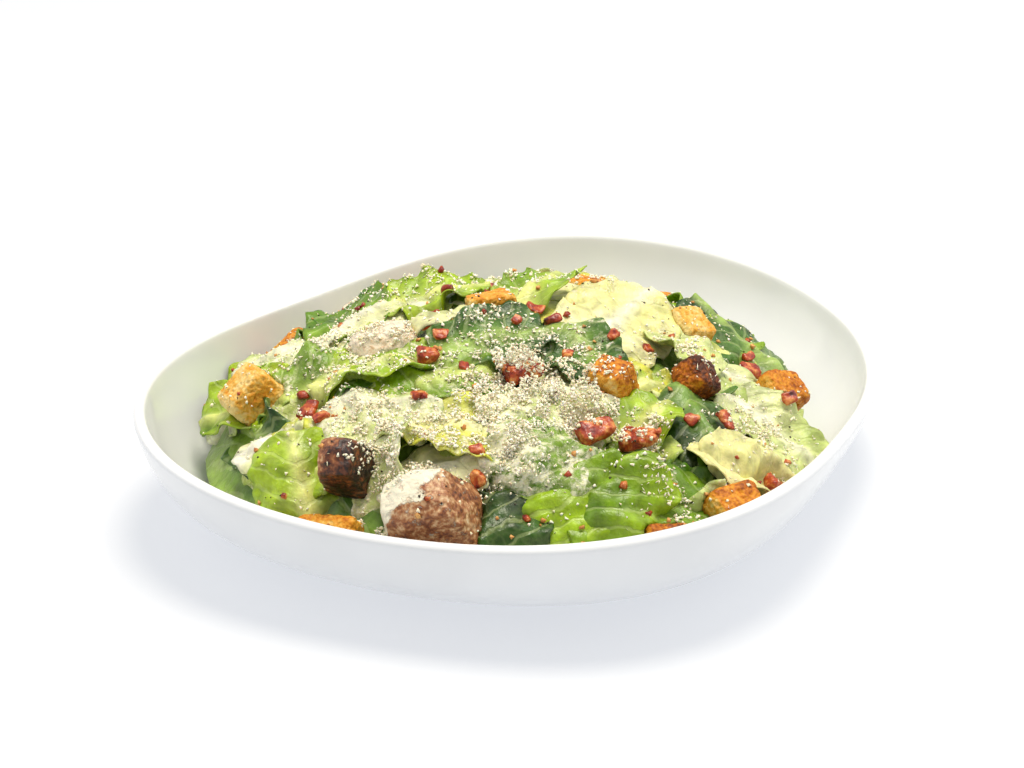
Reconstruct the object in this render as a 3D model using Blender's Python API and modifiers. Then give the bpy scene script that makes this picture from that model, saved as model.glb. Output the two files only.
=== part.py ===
"""Chicken caesar salad in a white bowl with a wavy rim.

The bowl is turned, then its rim is pulled out of round. The salad is one heap: a core that fills the bowl up to
a low dome, with the leaves that show fused on. Croutons, chicken and bacon are pieces of their own, each seated
in the heap. Run with: blender --background --python part.py
"""

import math
import random

import bmesh
import bpy
from mathutils import Matrix, Vector, noise
from mathutils.bvhtree import BVHTree

MM = 0.001

# Bowl. Its origin is the middle of the foot, on the table. The rim's curve is a circle with a few waves on it,
# each given as (waves round the rim, cosine share, sine share).
FOOT_RADIUS = 80 * MM
RIM_RADIUS = 136.3 * MM
RIM_CENTRE = (12 * MM, -6 * MM)
RIM_OUT_OF_ROUND = ((2, 0.004, 0.084), (3, -0.046, -0.005), (4, 0.0, 0.027))
RIM_HEIGHT = 45 * MM
RIM_WAVE = ((1, -2.0 * MM, 2.7 * MM), (2, -1.7 * MM, -1.3 * MM), (3, -2.9 * MM, -1.9 * MM))
WALL_THICKNESS = 4.2 * MM
FLOOR_THICKNESS = 5.5 * MM
BOWL_STEPS = 44
# The wall from foot to rim, as (share of the way out, share of the way up).
WALL_CURVE = (
    (0.0, 0.0), (0.16, 0.02), (0.32, 0.055), (0.50, 0.13), (0.66, 0.245),
    (0.79, 0.40), (0.89, 0.58), (0.96, 0.78), (1.0, 0.97),
)

# Heap. The dome is what the eye takes as the salad's surface, and the core lies a leaf's depth below it.
GAP = 0.35 * MM
HEAP_CENTRE = (3 * MM, -1 * MM)
HEAP_RADIUS = 115 * MM
HEAP_EDGE_HEIGHT = 20 * MM
HEAP_RISE = 51 * MM
HEAP_FALL = 0.6
CORE_BELOW_DOME = 8.5 * MM
CORE_RINGS = 7

# A leaf is cut romaine: a slab with rounded corners, bent along and across and ruffled at its edges.
LEAF_THICKNESS = 1.0 * MM
LEAF_CELLS = (3, 3)
LEAF_CORNER = 0.62
LEAF_RAGGED = 0.10

# Leaves that show from the front, in mm and degrees:
# (name, x, y, lift, yaw, pitch, roll, length, width, cup, curl, ruffle).
# Yaw 0 points the leaf's tip to +X. Pitch lifts the tip, and roll lifts the side to the left of the tip.
# Cup and curl are how far the sides and the ends bend, up if positive, and ruffle is the waves' height.
SHOWN_LEAVES = (
    ("left_under", -92, -47, 2, -58, 4, 24, 56, 30, 3, -4, 2),
    ("left_tip", -96, -23, 5, 168, 4, -12, 42, 30, 4, -2, 2),
    ("left_rib", -80, -53, 5, 18, 4, -10, 32, 24, -2, 2, 1),
    ("left_bright", -70, -79, 5, 84, 24, 6, 48, 34, -6, -4, 3),
    ("inner_fold", -39, -83, 5, 76, 16, -34, 48, 26, 4, -4, 2),
    ("left_yellow", -65, -54, 7, -14, 2, -6, 34, 28, -2, -2, 2),
    ("left_dressed", -63, -33, 6, 24, 3, 6, 46, 34, 3, -3, 3),
    ("back_left_white", -80, 4, 6, 172, 4, 4, 44, 34, -3, -2, 3),
    ("back_left_cream", -55, 10, 6, 36, 4, 0, 46, 34, -5, -3, 1),
    ("mid_left_green", -44, -32, 8, 4, 2, -8, 50, 28, 3, -3, 2),
    ("mid_left_pale", -43, -54, 7, -8, 0, -8, 50, 36, -3, -3, 3),
    ("top_left_green", -26, 28, 6, 12, 4, 4, 46, 32, 4, -3, 2),
    ("top_strip", -19, -7, 10, 12, 2, -4, 36, 15, -1, -1, 0),
    ("top_dark", -3, -24, 8, 22, 4, 6, 48, 32, 4, -3, 2),
    ("top_dark_right", 27, -27, 8, -58, 2, 8, 38, 30, 3, -3, 3),
    ("top_fan", 44, 6, 9, 62, 12, 10, 58, 46, -5, -4, 4),
    ("top_tip", 14, 32, 8, 64, 12, -8, 42, 32, 4, -3, 2),
    ("right_back_dark", 90, 42, 7, 148, 8, -8, 50, 40, -4, -2, 2),
    ("right_white", 68, -5, 6, -46, 2, 4, 34, 22, 2, -2, 2),
    ("right_pale", 88, -10, 6, -32, 3, 6, 40, 28, -3, -3, 2),
    ("right_broad", 97, -35, 7, -26, 4, 10, 50, 36, 5, -3, 3),
    ("right_dark", 71, -52, 7, -62, 2, 4, 46, 32, -3, -3, 2),
    ("right_ruffle", 85, -63, 7, -4, 2, -12, 50, 26, 2, -2, 5),
    ("right_low", 60, -88, 3, 14, 4, -14, 40, 30, 4, -3, 2),
    ("front_large", 22, -97, 7, 82, 10, -6, 52, 58, -7, -5, 4),
    ("centre_yellow", -10, -71, 6, -24, 2, -12, 48, 36, 4, -4, 3),
    ("centre_pale", 17, -55, 8, -8, 2, -8, 52, 46, -4, -3, 2),
    ("centre_right", 50, -59, 7, 58, 8, -16, 28, 24, 3, -2, 1),
    ("centre_low", 54, -77, 5, 4, 4, -10, 38, 28, -3, -3, 3),
    ("front_cream", -23, -85, 6, 18, 6, -10, 40, 30, -3, -3, 2),
)

# The side away from the front carries on in rings: (share of the heap's radius, first angle, last angle, leaves).
HIDDEN_RINGS = ((0.84, 30, 168, 7), (0.58, 44, 150, 4), (0.27, 60, 130, 2))
HIDDEN_LENGTH = (40, 52)
HIDDEN_WIDTH = (28, 38)
HIDDEN_SEED = 11

# Toppings, in mm and degrees: (name, x, y, lift of the middle, yaw, pitch, roll, length, width, height).
# The big ones sit on the bare core, and the bacon lies on the leaves, pressed in by BACON_SUNK.
CROUTONS = (
    ("crouton_left", -87, -27, 8, 24, 10, 6, 20, 18, 18),
    ("crouton_front_left", -60, -97, 7, -14, 0, -12, 23, 14, 14),
    ("crouton_top_left", -3, 5, 7, 14, 6, -4, 19, 14, 12),
    ("crouton_back_right", 70, 18, 6, 40, 10, 14, 15, 15, 14),
    ("crouton_centre", 39, -44, 8, 62, 12, -14, 15, 15, 16),
    ("crouton_right", 69, -28, 8, 28, -16, 20, 15, 14, 14),
    ("crouton_far_right", 102, -3, 8, 36, 12, 10, 19, 15, 15),
    ("crouton_front_right", 79, -82, 8, 34, 12, -10, 20, 16, 15),
    ("crouton_low_right", 57, -104, 7, 8, 0, -8, 17, 13, 13),
    ("crouton_hidden_left", -82, 38, 1, 50, 8, 4, 17, 16, 15),
    ("crouton_hidden_back", -26, 87, 3, 20, -6, 8, 17, 15, 15),
    ("crouton_hidden_mid", 34, 66, 2, 70, 10, -6, 17, 16, 14),
    ("crouton_hidden_right", 64, 86, 3, 10, 6, 12, 18, 15, 14),
)
CHICKEN = (
    ("chicken_front", -21, -100, 16, 10, 10, -10, 31, 24, 32),
    ("chicken_dark", -51, -78, 11, 70, 14, 6, 18, 15, 26),
    ("chicken_back_left", -43, -16, 6, 8, 4, -6, 26, 17, 14),
    ("chicken_hidden_back", 10, 94, 1, 26, 4, 6, 28, 20, 16),
    ("chicken_hidden_left", -56, 70, 2, 118, -4, 8, 27, 19, 15),
)
BACON = (
    ("bacon_top", 9, -45, 0, 20, 0, 0, 14, 12, 8),
    ("bacon_centre_left", 34, -71, 0, 34, 0, 0, 14, 9, 6),
    ("bacon_centre_right", 50, -73, 0, -22, 0, 0, 15, 10, 7),
    ("bacon_square", -26, -36, 0, 8, 0, 0, 8, 8, 6),
    ("bacon_back_left", -26, 8, 0, 30, 0, 0, 11, 7, 5),
    ("bacon_left_upper", -69, -44, 0, 60, 0, 0, 9, 7, 4),
    ("bacon_left_front", -76, -86, 0, 84, 0, 0, 11, 5, 4),
    ("bacon_right_back", 97, 20, 0, 20, 0, 0, 9, 8, 6),
    ("bacon_far_right", 112, -19, 0, 30, 0, 0, 8, 6, 5),
    ("bacon_sliver", 82, -48, 0, -56, 0, 0, 10, 4, 4),
    ("bacon_right_front", 99, -66, 0, 14, 0, 0, 13, 8, 5),
    ("bacon_hidden_left", -64, 52, 0, 40, 0, 0, 10, 8, 5),
    ("bacon_hidden_mid", -6, 62, 0, 70, 0, 0, 12, 9, 6),
    ("bacon_hidden_back", 34, 100, 0, 5, 0, 0, 11, 8, 5),
)
BACON_SUNK = 0.25
CROUTON_ROUNDING = 0.20
CROUTON_UNEVEN = 0.9 * MM
CHICKEN_UNEVEN = 1.5 * MM
BACON_UNEVEN = 0.6 * MM
NOISE_SEED = 3


def clear_scene():
    for obj in list(bpy.data.objects):
        bpy.data.objects.remove(obj, do_unlink=True)


def new_collection(name, hidden=False):
    collection = bpy.data.collections.new(name)
    collection.hide_render = hidden
    bpy.context.scene.collection.children.link(collection)
    return collection


def new_material(name, colour, roughness, metallic=0.0):
    material = bpy.data.materials.new(name)
    material.use_nodes = True
    material.diffuse_color = (*colour, 1.0)
    shader = material.node_tree.nodes["Principled BSDF"]
    shader.inputs["Base Color"].default_value = (*colour, 1.0)
    shader.inputs["Roughness"].default_value = roughness
    shader.inputs["Metallic"].default_value = metallic
    return material


def new_object(name, mesh, material, collection):
    obj = bpy.data.objects.new(name, mesh)
    mesh.materials.append(material)
    collection.objects.link(obj)
    return obj


def mesh_from(bm, name):
    mesh = bpy.data.meshes.new(name)
    bm.to_mesh(mesh)
    bm.free()
    return mesh


def waves(terms, angle):
    """The sum of a few waves round the rim."""
    return sum(c * math.cos(n * angle) + s * math.sin(n * angle) for n, c, s in terms)


def pull_out_of_round(point):
    """Moves a point of the round, level bowl to where the wavy one has it."""
    radius = math.hypot(point.x, point.y)
    if radius <= FOOT_RADIUS:
        return point
    angle = math.atan2(point.y, point.x)
    share = (radius - FOOT_RADIUS) / (RIM_RADIUS - FOOT_RADIUS)
    reach = radius + RIM_RADIUS * waves(RIM_OUT_OF_ROUND, angle) * share
    height = point.z * (1 + share * waves(RIM_WAVE, angle) / RIM_HEIGHT)
    return Vector((
        reach * math.cos(angle) + RIM_CENTRE[0] * share,
        reach * math.sin(angle) + RIM_CENTRE[1] * share,
        height,
    ))


def wall_outline(offset):
    """(radius, height) along the wall from foot to rim, moved in from the outer face by offset."""
    outer = [
        (FOOT_RADIUS + (RIM_RADIUS - FOOT_RADIUS) * out, RIM_HEIGHT * up)
        for out, up in WALL_CURVE
    ]
    if not offset:
        return outer
    moved = []
    for i, (radius, height) in enumerate(outer):
        before = outer[max(i - 1, 0)]
        after = outer[min(i + 1, len(outer) - 1)]
        along = Vector((after[0] - before[0], after[1] - before[1])).normalized()
        moved.append((radius - along.y * offset, height + along.x * offset))
    return moved


def spin_profile(profile, steps):
    """Turns a closed (radius, height) profile whose ends lie on the axis, then pulls it out of round."""
    bm = bmesh.new()
    points = [bm.verts.new((radius, 0, height)) for radius, height in profile]
    edges = [bm.edges.new(pair) for pair in zip(points, points[1:])]
    bmesh.ops.spin(
        bm, geom=points + edges, cent=(0, 0, 0), axis=(0, 0, 1),
        angle=2 * math.pi, steps=steps, use_merge=True,
    )
    bmesh.ops.remove_doubles(bm, verts=bm.verts, dist=0.01 * MM)
    for vert in bm.verts:
        vert.co = pull_out_of_round(vert.co)
    bmesh.ops.recalc_face_normals(bm, faces=bm.faces)
    return bm


def bowl_profile():
    """The bowl's section: flat foot, outer wall, round lip, inner wall and floor."""
    outer = wall_outline(0)
    inner = [p for p in wall_outline(WALL_THICKNESS) if p[1] > FLOOR_THICKNESS]
    lip_middle = RIM_RADIUS - WALL_THICKNESS / 2
    lip_top = RIM_HEIGHT + 0.3 * WALL_THICKNESS
    lip = [
        (RIM_RADIUS - 0.15 * WALL_THICKNESS, RIM_HEIGHT + 0.15 * WALL_THICKNESS),
        (lip_middle, lip_top),
        (RIM_RADIUS - 0.85 * WALL_THICKNESS, RIM_HEIGHT + 0.15 * WALL_THICKNESS),
    ]
    floor = [(FOOT_RADIUS * 0.9, FLOOR_THICKNESS), (0, FLOOR_THICKNESS)]
    return [(0, 0)] + outer + lip + inner[::-1] + floor


def cavity_profile():
    """The space inside the bowl, carried straight up past the rim."""
    inner = [p for p in wall_outline(WALL_THICKNESS) if p[1] > FLOOR_THICKNESS]
    top = 3 * RIM_HEIGHT
    return [(0, FLOOR_THICKNESS), (FOOT_RADIUS * 0.9, FLOOR_THICKNESS)] + inner + [(inner[-1][0], top), (0, top)]


def core_profile():
    """The bare core's section in the round bowl: up the inner wall with a gap, then over the dome."""
    inner = wall_outline(WALL_THICKNESS + GAP)
    edge_height = HEAP_EDGE_HEIGHT - CORE_BELOW_DOME
    under = [(0, FLOOR_THICKNESS + GAP), (FOOT_RADIUS * 0.88, FLOOR_THICKNESS + GAP)]
    under += [p for p in inner if FLOOR_THICKNESS + 2 * GAP < p[1] < edge_height]
    edge_radius = HEAP_RADIUS * 0.985
    over = []
    for ring in range(CORE_RINGS + 1):
        radius = edge_radius * math.cos(0.5 * math.pi * ring / CORE_RINGS)
        share = min(1.0, radius / HEAP_RADIUS)
        height = edge_height + HEAP_RISE * (1 - share * share) ** HEAP_FALL
        over.append((radius if ring < CORE_RINGS else 0.0, height))
    return under + over


def surface_frame(tree, x, y):
    """The point where a plumb line at x, y, or the nearest spot further in, meets the surface, and its normal."""
    spot = Vector((x, y, 1.0))
    point = None
    while point is None:
        point, normal, _, _ = tree.ray_cast(spot, Vector((0, 0, -1)))
        spot = Vector((spot.x * 0.98, spot.y * 0.98, 1.0))
    return point, normal if normal.z > 0 else -normal


def seat_matrix(point, normal, yaw, pitch, roll, lift):
    """A frame at the point whose Z is the surface's normal, then turned by yaw, pitch and roll."""
    heading = Vector((math.cos(math.radians(yaw)), math.sin(math.radians(yaw)), 0))
    along = (heading - normal * heading.dot(normal)).normalized()
    across = normal.cross(along)
    frame = Matrix((along, across, normal)).transposed().to_4x4()
    turn = Matrix.Rotation(math.radians(-pitch), 4, "Y") @ Matrix.Rotation(math.radians(roll), 4, "X")
    return Matrix.Translation(point + normal * lift) @ frame @ turn


def leaf_mesh(name, seed, length, width, cup, curl, ruffle):
    """A wavy slab of leaf round its own middle, as a triangulated sheet."""
    bm = bmesh.new()
    bmesh.ops.create_grid(bm, x_segments=LEAF_CELLS[0], y_segments=LEAF_CELLS[1], size=1.0)
    bmesh.ops.triangulate(bm, faces=bm.faces)
    for vert in bm.verts:
        u, v = vert.co.x, vert.co.y
        ragged = 1 + LEAF_RAGGED * noise.noise(Vector((u * 1.7, v * 1.7, seed * 3.1)))
        x = u * math.sqrt(1 - LEAF_CORNER * v * v / 2) * ragged
        y = v * math.sqrt(1 - LEAF_CORNER * u * u / 2) * ragged
        wave = math.sin(math.pi * (2.0 * u + 0.37 * seed)) * abs(v) ** 1.5
        lump = noise.noise(Vector((u * 0.9 + seed, v * 0.9, seed * 1.3)))
        vert.co = Vector((
            x * length / 2,
            y * width / 2,
            cup * v * v + curl * u * u + ruffle * (0.6 * wave + 0.8 * lump),
        ))
    return bm


def clear_of_bowl(point, cavity_tree, clearance):
    """The point, moved in to keep its clearance from the wall of the cavity."""
    nearest, normal, _, _ = cavity_tree.find_nearest(point)
    if (nearest - point).dot(normal) < clearance:
        point = nearest - normal * (clearance + 0.1 * MM)
    return point


def hidden_leaves():
    """Rows for the leaves round the back, in the form of SHOWN_LEAVES, by a seeded rule."""
    draw = random.Random(HIDDEN_SEED)
    rows = []
    for ring, (share, first, last, count) in enumerate(HIDDEN_RINGS):
        for i in range(count):
            angle = first + (last - first) * (i + draw.uniform(-0.2, 0.2)) / (count - 1)
            reach = share * HEAP_RADIUS / MM
            rows.append((
                f"hidden_{ring}_{i}",
                HEAP_CENTRE[0] / MM + reach * math.cos(math.radians(angle)),
                HEAP_CENTRE[1] / MM + reach * math.sin(math.radians(angle)),
                draw.uniform(1, 4),
                angle + draw.uniform(-70, 70),
                draw.uniform(0, 10),
                draw.uniform(-12, 12),
                draw.uniform(*HIDDEN_LENGTH),
                draw.uniform(*HIDDEN_WIDTH),
                draw.choice((-4, 4)),
                -3,
                draw.uniform(2, 4),
            ))
    return rows


def build_leaves(core_tree, cavity_tree, material, collection):
    """One solid for each leaf, seated on the core and kept inside the bowl."""
    for seed, row in enumerate(list(SHOWN_LEAVES) + hidden_leaves()):
        name, x, y, lift, yaw, pitch, roll, length, width, cup, curl, ruffle = row
        point, normal = surface_frame(core_tree, x * MM, y * MM)
        frame = seat_matrix(point, normal, yaw, pitch, roll, lift * MM)
        sizes = [value * MM for value in (length, width, cup, curl, ruffle)]
        bm = leaf_mesh(name, seed, *sizes)
        for vert in bm.verts:
            vert.co = clear_of_bowl(frame @ vert.co, cavity_tree, LEAF_THICKNESS / 2 + 3 * GAP)
        leaf = new_object(name, mesh_from(bm, name), material, collection)
        wall = leaf.modifiers.new("thickness", "SOLIDIFY")
        wall.thickness = LEAF_THICKNESS
        wall.offset = 0


def applied(obj):
    """The object with its modifiers applied."""
    graph = bpy.context.evaluated_depsgraph_get()
    mesh = bpy.data.meshes.new_from_object(obj.evaluated_get(graph))
    obj.modifiers.clear()
    obj.data = mesh
    return obj


def join_or_cut(obj, collection, operation):
    """One Boolean of the object with every object of the collection, which are then removed."""
    step = obj.modifiers.new(operation.lower(), "BOOLEAN")
    step.operation = operation
    step.operand_type = "COLLECTION"
    step.collection = collection
    step.solver = "MANIFOLD"
    applied(obj)
    for other in list(collection.objects):
        bpy.data.objects.remove(other, do_unlink=True)
    bpy.data.collections.remove(collection)


def keep_largest_body(obj):
    """Drops loose scraps and fills sealed hollows, which are the smaller shells of the mesh."""
    bm = bmesh.new()
    bm.from_mesh(obj.data)
    bmesh.ops.remove_doubles(bm, verts=bm.verts, dist=0.002 * MM)
    bmesh.ops.dissolve_degenerate(bm, edges=bm.edges, dist=0.002 * MM)
    bmesh.ops.triangulate(bm, faces=bm.faces)
    left = set(bm.faces)
    shells = []
    while left:
        shell = {left.pop()}
        edge_of_shell = list(shell)
        while edge_of_shell:
            face = edge_of_shell.pop()
            near = {other for edge in face.edges for other in edge.link_faces} & left
            left -= near
            shell |= near
            edge_of_shell.extend(near)
        shells.append(shell)
    shells.sort(key=len)
    scraps = [face for shell in shells[:-1] for face in shell]
    bmesh.ops.delete(bm, geom=scraps, context="FACES")
    obj.data = mesh_from(bm, obj.name)
    print(f"{obj.name}: {len(shells) - 1} scraps dropped, {len(obj.data.polygons)} faces")


def uneven(bm, seed, depth, size):
    """Moves every corner a little, by smooth noise, so that no two pieces are alike."""
    for vert in bm.verts:
        spot = vert.co / size + Vector((seed * 5.3, seed * 2.9, seed * 7.1))
        vert.co += noise.noise_vector(spot) * depth


def crouton_mesh(seed, length, width, height):
    """A toasted cube of bread with worn edges."""
    bm = bmesh.new()
    bmesh.ops.create_cube(bm, size=1.0)
    for vert in bm.verts:
        vert.co = Vector((vert.co.x * length, vert.co.y * width, vert.co.z * height))
    uneven(bm, seed, 2.2 * CROUTON_UNEVEN, 16 * MM)
    rounding = CROUTON_ROUNDING * min(length, width, height)
    bmesh.ops.bevel(bm, geom=bm.edges, offset=rounding, segments=2, profile=0.5, affect="EDGES")
    uneven(bm, seed + 0.5, CROUTON_UNEVEN, 7 * MM)
    return bm


def chicken_mesh(seed, length, width, height):
    """A hand-cut chunk of grilled breast: a block with soft corners and a torn, uneven surface."""
    bm = bmesh.new()
    bmesh.ops.create_cube(bm, size=1.0)
    bmesh.ops.subdivide_edges(bm, edges=bm.edges, cuts=2, use_grid_fill=True)
    for vert in bm.verts:
        square = vert.co * 2
        rounded = square / max(1.0, (sum(abs(c) ** 5 for c in square)) ** 0.2)
        taper = 1 - 0.14 * square.z
        vert.co = Vector((
            rounded.x * taper * length / 2, rounded.y * taper * width / 2, rounded.z * height / 2,
        ))
    uneven(bm, seed, CHICKEN_UNEVEN, 9 * MM)
    return bm


def bacon_mesh(seed, length, width, height):
    """A crisp chopped bit of bacon, thicker at one end."""
    bm = bmesh.new()
    bmesh.ops.create_cube(bm, size=1.0)
    for vert in bm.verts:
        thinner = 1 - 0.25 * (vert.co.x + 0.5)
        vert.co = Vector((vert.co.x * length, vert.co.y * width * thinner, vert.co.z * height * thinner))
    uneven(bm, seed, 2 * BACON_UNEVEN, 6 * MM)
    bmesh.ops.bevel(
        bm, geom=bm.edges, offset=0.22 * height, segments=1, profile=0.5, affect="EDGES"
    )
    uneven(bm, seed + 0.5, BACON_UNEVEN, 3 * MM)
    return bm


def build_toppings(rows, tree, make_mesh, material, collection, sunk=None):
    """Seats each topping on the surface of the tree. With sunk, its middle lies that share of its height up."""
    made = []
    for seed, row in enumerate(rows):
        name, x, y, lift, yaw, pitch, roll, length, width, height = row
        point, normal = surface_frame(tree, x * MM, y * MM)
        rise = lift * MM if sunk is None else height * MM * (0.5 - sunk)
        frame = seat_matrix(point, normal, yaw, pitch, roll, rise)
        bm = make_mesh(seed + len(name), length * MM, width * MM, height * MM)
        bmesh.ops.recalc_face_normals(bm, faces=bm.faces)
        obj = new_object(name, mesh_from(bm, name), material, collection)
        obj.matrix_world = frame
        made.append(obj)
    return made


def keep_inside_bowl(toppings, cavity_tree):
    """Slides a topping in until all of it is clear of the bowl."""
    centre = Vector((HEAP_CENTRE[0], HEAP_CENTRE[1], 120 * MM))
    for obj in toppings:
        for _ in range(60):
            short = 0.0
            for vert in obj.data.vertices:
                spot = obj.matrix_world @ vert.co
                nearest, normal, _, _ = cavity_tree.find_nearest(spot)
                short = max(short, 2 * GAP - (nearest - spot).dot(normal))
            if short <= 0:
                break
            inward = (centre - obj.matrix_world.translation).normalized()
            obj.matrix_world = Matrix.Translation(inward * (short + 0.1 * MM)) @ obj.matrix_world


def seat_box(obj, gap, collection):
    """A plain box round the object, in its own frame, for cutting its seat."""
    corners = [Vector(corner) for corner in obj.bound_box]
    low, high = corners[0] - Vector((gap, gap, gap)), corners[6] + Vector((gap, gap, gap))
    bm = bmesh.new()
    bmesh.ops.create_cube(bm, size=1.0)
    for vert in bm.verts:
        vert.co = Vector(low[i] + (high[i] - low[i]) * (vert.co[i] + 0.5) for i in range(3))
    name = obj.name + "_seat"
    box = new_object(name, mesh_from(bm, name), obj.data.materials[0], collection)
    box.matrix_world = obj.matrix_world
    box.hide_render = True
    box.display_type = "WIRE"


def tree_of(mesh):
    bm = bmesh.new()
    bm.from_mesh(mesh)
    tree = BVHTree.FromBMesh(bm)
    bm.free()
    return tree


def main():
    clear_scene()
    noise.seed_set(NOISE_SEED)
    parts = new_collection("chicken_caesar_salad")
    leaves = new_collection("leaves")
    seats = new_collection("seats", hidden=True)
    glaze = new_material("white_glazed_porcelain", (0.86, 0.86, 0.85), 0.18)
    lettuce = new_material("romaine", (0.42, 0.60, 0.12), 0.42)
    toast = new_material("toasted_bread", (0.62, 0.30, 0.07), 0.75)
    meat = new_material("grilled_chicken", (0.42, 0.22, 0.12), 0.60)
    cured = new_material("crisp_bacon", (0.32, 0.05, 0.03), 0.45)

    bowl_mesh = mesh_from(spin_profile(bowl_profile(), BOWL_STEPS), "bowl")
    new_object("bowl", bowl_mesh, glaze, parts)
    cavity = mesh_from(spin_profile(cavity_profile(), BOWL_STEPS), "cavity")
    cavity_tree = tree_of(cavity)

    salad_mesh = mesh_from(spin_profile(core_profile(), BOWL_STEPS), "salad")
    salad = new_object("salad", salad_mesh, lettuce, parts)
    core_tree = tree_of(salad.data)
    build_leaves(core_tree, cavity_tree, lettuce, leaves)
    join_or_cut(salad, leaves, "UNION")
    keep_largest_body(salad)

    toppings = build_toppings(CROUTONS, core_tree, crouton_mesh, toast, parts)
    toppings += build_toppings(CHICKEN, core_tree, chicken_mesh, meat, parts)
    toppings += build_toppings(BACON, tree_of(salad.data), bacon_mesh, cured, parts, BACON_SUNK)
    keep_inside_bowl(toppings, cavity_tree)
    for topping in toppings:
        seat_box(topping, GAP, seats)
    join_or_cut(salad, seats, "DIFFERENCE")
    keep_largest_body(salad)


main()
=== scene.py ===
import math
import random

import bmesh
import bpy
from mathutils import Matrix, Vector, noise
from mathutils.bvhtree import BVHTree


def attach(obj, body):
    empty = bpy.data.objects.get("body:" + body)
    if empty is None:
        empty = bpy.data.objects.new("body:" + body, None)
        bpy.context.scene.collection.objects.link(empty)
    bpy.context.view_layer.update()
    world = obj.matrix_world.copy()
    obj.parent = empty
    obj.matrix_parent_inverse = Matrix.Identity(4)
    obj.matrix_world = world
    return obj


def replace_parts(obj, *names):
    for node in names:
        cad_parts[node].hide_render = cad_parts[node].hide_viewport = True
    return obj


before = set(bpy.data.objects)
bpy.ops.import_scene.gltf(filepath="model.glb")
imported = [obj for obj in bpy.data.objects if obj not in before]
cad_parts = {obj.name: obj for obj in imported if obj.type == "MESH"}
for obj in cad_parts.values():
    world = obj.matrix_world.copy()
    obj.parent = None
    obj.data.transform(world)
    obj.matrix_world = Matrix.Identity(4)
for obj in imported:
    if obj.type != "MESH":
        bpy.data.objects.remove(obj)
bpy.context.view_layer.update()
mm = 0.001


def hexColour(text):
    # sRGB hex to the linear values that sockets and attributes take
    linear = []
    for i in (0, 2, 4):
        c = int(text[i:i + 2], 16) / 255
        linear.append(c / 12.92 if c <= 0.04045 else ((c + 0.055) / 1.055) ** 2.4)
    return (*linear, 1.0)


def mixed(a, b, share):
    share = min(1.0, max(0.0, share))
    return tuple(p + (q - p) * share for p, q in zip(a, b))


def ease(low, high, value):
    # 0 below low, 1 above high, smooth between
    t = min(1.0, max(0.0, (value - low) / (high - low)))
    return t * t * (3 - 2 * t)


def addNode(tree, kind, inputs=None, **settings):
    # inputs maps a socket's name or number to a value, or to the output that feeds it
    node = tree.nodes.new(kind)
    for name, value in settings.items():
        setattr(node, name, value)
    for name, value in (inputs or {}).items():
        if isinstance(value, bpy.types.NodeSocket):
            tree.links.new(value, node.inputs[name])
        else:
            node.inputs[name].default_value = value
    return node


def mathNode(tree, operation, *values):
    return addNode(tree, "ShaderNodeMath", dict(enumerate(values)), operation=operation).outputs[0]


def noiseNode(tree, place, size, detail, **more):
    # place is in metres, so this scale gives features of size mm
    inputs = {"Vector": place, "Scale": 1000 / size, "Detail": detail, **more}
    return addNode(tree, "ShaderNodeTexNoise", inputs).outputs["Fac"]


def rangeNode(tree, value, before, after=(0.0, 1.0), **settings):
    # carries a value from the range before to the range after
    return addNode(tree, "ShaderNodeMapRange", {
        "Value": value, "From Min": before[0], "From Max": before[1], "To Min": after[0], "To Max": after[1]},
        **settings).outputs["Result"]


def rampNode(tree, value, *stops):
    # each stop is its place and its colour in sRGB hex
    node = addNode(tree, "ShaderNodeValToRGB", {"Fac": value})
    marks = node.color_ramp.elements
    while len(marks) < len(stops):
        marks.new(0.5)
    for mark, (place, text) in zip(marks, stops):
        mark.position = place
        mark.color = hexColour(text)
    return node.outputs["Color"]


def mixNode(tree, share, first, second, blend="MIX"):
    # a Mix node's colours go in at 6 and 7 and come out at 2
    node = addNode(tree, "ShaderNodeMix", {0: share, 6: first, 7: second}, data_type="RGBA", blend_type=blend)
    return node.outputs[2]


def painted(tree, name, output="Fac"):
    return addNode(tree, "ShaderNodeAttribute", attribute_name=name).outputs[output]


def newMaterial(name):
    material = bpy.data.materials.new(name)
    material.use_nodes = True
    return material, material.node_tree, material.node_tree.nodes["Principled BSDF"]


def objectPlace(tree):
    return addNode(tree, "ShaderNodeTexCoord").outputs["Object"]


def finishShader(tree, shader, colour, relief=None, plain=None):
    # colour and relief, which is (height, strength, depth in mm), are linked; plain values sit on sockets
    tree.links.new(colour, shader.inputs["Base Color"])
    if relief:
        height, strength, depth = relief
        bump = addNode(tree, "ShaderNodeBump", {
            "Height": height, "Strength": strength, "Distance": depth * mm})
        tree.links.new(bump.outputs["Normal"], shader.inputs["Normal"])
    for name, value in (plain or {}).items():
        shader.inputs[name].default_value = value


def paint(mesh, name, values):
    # one number or one colour for each point
    colours = isinstance(values[0], tuple)
    layer = mesh.attributes.new(name, "FLOAT_COLOR" if colours else "FLOAT", "POINT")
    flat = [c for v in values for c in v] if colours else values
    layer.data.foreach_set("color" if colours else "value", flat)


def bmeshOf(mesh):
    bm = bmesh.new()
    bm.from_mesh(mesh)
    return bm


def toMesh(bm, name):
    # a new mesh from bm, which is used up
    mesh = bpy.data.meshes.new(name)
    bm.to_mesh(mesh)
    bm.free()
    return mesh


def meshPiece(name, mesh, material):
    # a finished piece: its object stays at the origin and its place is in its mesh
    mesh.materials.clear()
    mesh.materials.append(material)
    mesh.shade_smooth()
    piece = bpy.data.objects.new(name, mesh)
    bpy.context.scene.collection.objects.link(piece)
    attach(piece, "root")
    return piece


def evaluatedMesh(source):
    graph = bpy.context.evaluated_depsgraph_get()
    return bpy.data.meshes.new_from_object(source.evaluated_get(graph))


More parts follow.
